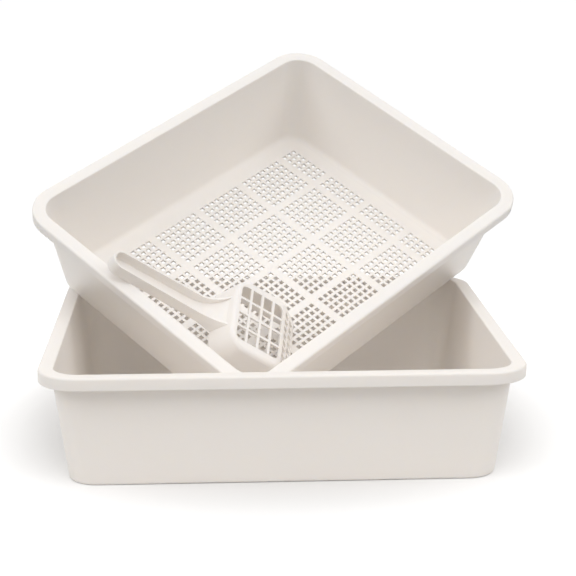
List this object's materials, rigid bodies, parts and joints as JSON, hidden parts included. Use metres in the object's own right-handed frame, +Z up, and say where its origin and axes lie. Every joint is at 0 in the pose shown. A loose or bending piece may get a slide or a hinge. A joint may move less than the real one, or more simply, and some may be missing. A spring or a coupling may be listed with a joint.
{
  "type": "sifting litter box",
  "caption": "Sifting litter box: an ivory rimmed base pan, a perforated sieve tray propped cornerwise in it, and a slotted scoop leaning in the tray.",
  "frame": {"origin": "middle of the base pan's underside", "axes": "+X along the pan's long side, +Y towards the pan's back, +Z up"},
  "size_m": [0.5007, 0.5387, 0.3387],
  "materials": {
    "pan_plastic": "satin",
    "tray_plastic": "satin",
    "scoop_plastic": "satin"
  },
  "bodies": {
    "pan": {"base_pan": "pan_plastic"},
    "tray": {"sieve_tray": "tray_plastic"},
    "scoop": {"scoop": "scoop_plastic"}
  },
  "joints": [
    {"name": "tray_lift", "type": "slide", "parent": "pan", "child": "tray", "axis": [0, 0, 1], "range_m": [0, 0.25]},
    {"name": "scoop_lift", "type": "slide", "parent": "tray", "child": "scoop", "axis": [0, 0, 1], "range_m": [0, 0.2]}
  ]
}
